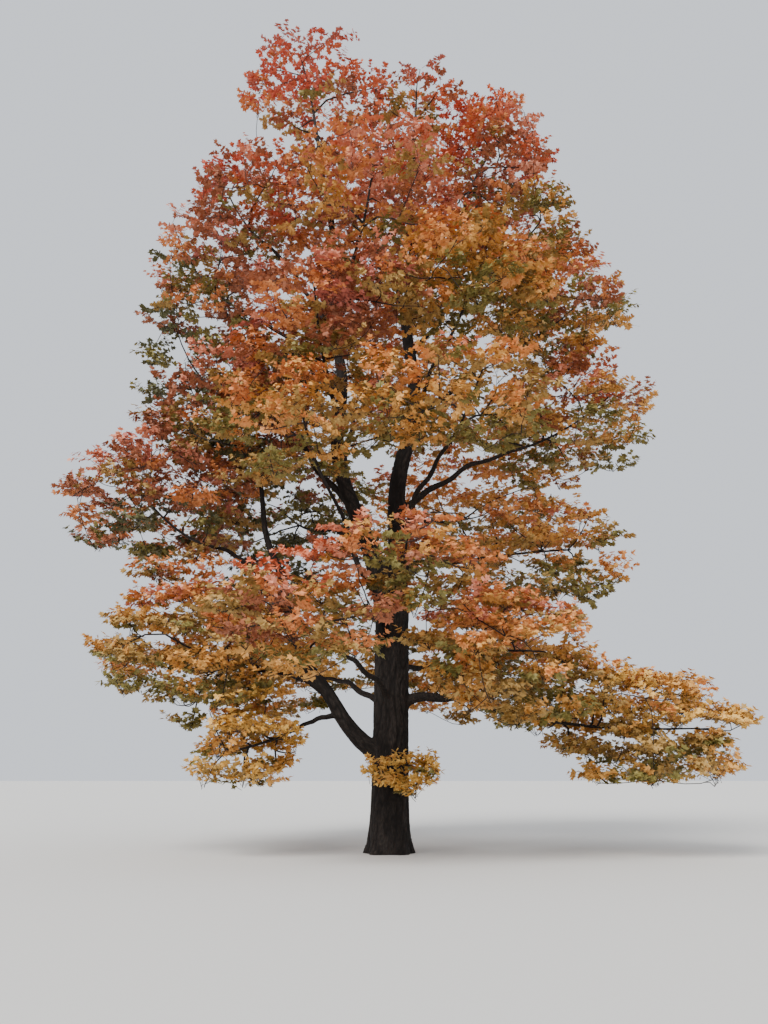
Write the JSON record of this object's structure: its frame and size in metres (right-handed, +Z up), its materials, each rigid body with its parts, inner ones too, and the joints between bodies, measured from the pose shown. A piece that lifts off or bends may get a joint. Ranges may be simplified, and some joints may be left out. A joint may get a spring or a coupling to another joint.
{
  "type": "maple tree",
  "caption": "Large open-grown maple in autumn leaf: a stout trunk forking into leaders, with spreading boughs that carry tiers of orange, red and gold foliage.",
  "frame": {"origin": "centre of the flat cut under the trunk, at ground level", "axes": "+Z up along the trunk; +X to the right and +Y away in the picture's view"},
  "size_m": [16.7333, 12.6625, 23.3479],
  "materials": {
    "bark": "nearly black, deeply furrowed bark, matt",
    "leaf_scarlet": "red-orange autumn leaves, satin",
    "leaf_rose": "pinkish red autumn leaves, satin",
    "leaf_orange": "orange autumn leaves, satin",
    "leaf_amber": "yellow-orange autumn leaves, satin",
    "leaf_gold": "golden yellow autumn leaves, satin",
    "leaf_moss": "leaves still olive green, just turning, satin"
  },
  "bodies": {
    "root": {"trunk": "bark", "left_leader": "bark", "right_leader": "bark", "left_bough": "bark", "bough_low_left": "bark", "bough_low_left_hanging": "bark", "bough_left_tier": "bark", "bough_front_low": "bark", "bough_front_arch": "bark", "second_stem": "bark", "bough_front_right": "bark", "bough_front_high_left": "bark", "bough_front_high_right": "bark", "bough_centre_high": "bark", "bough_left_side": "bark", "bough_left_high": "bark", "bough_left_shoulder": "bark", "bough_right_peak": "bark", "bough_right_shoulder": "bark", "bough_right_high": "bark", "bough_right_tip": "bark", "bough_right_tier": "bark", "bough_right_inner": "bark", "bough_right_sweep": "bark", "bough_back_low_left": "bark", "bough_back_low_right": "bark", "bough_back_left": "bark", "bough_back_right": "bark", "bough_back_high": "bark", "bough_back_top": "bark", "leaves_top_left": "leaf_scarlet", "leaves_top_middle": "leaf_scarlet", "leaves_left_middle": "leaf_rose", "leaves_low_left": "leaf_amber", "leaves_low_left_hanging": "leaf_gold", "leaves_left_tier": "leaf_rose", "leaves_front_low": "leaf_orange", "leaves_front_arch": "leaf_orange", "leaves_front_left": "leaf_amber", "leaves_front_right": "leaf_amber", "leaves_front_high_left": "leaf_rose", "leaves_front_high_right": "leaf_amber", "leaves_centre_high": "leaf_orange", "leaves_left_side": "leaf_moss", "leaves_left_high": "leaf_rose", "leaves_left_shoulder": "leaf_scarlet", "leaves_right_peak": "leaf_scarlet", "leaves_right_shoulder": "leaf_orange", "leaves_right_high": "leaf_orange", "leaves_right_tip": "leaf_orange", "leaves_right_tier": "leaf_amber", "leaves_right_inner": "leaf_amber", "leaves_right_sweep": "leaf_gold", "leaves_back_low_left": "leaf_gold", "leaves_back_low_right": "leaf_amber", "leaves_back_left": "leaf_moss", "leaves_back_right": "leaf_amber", "leaves_back_high": "leaf_orange", "leaves_back_top": "leaf_scarlet", "leaves_trunk_tuft": "leaf_gold"}
  },
  "joints": []
}
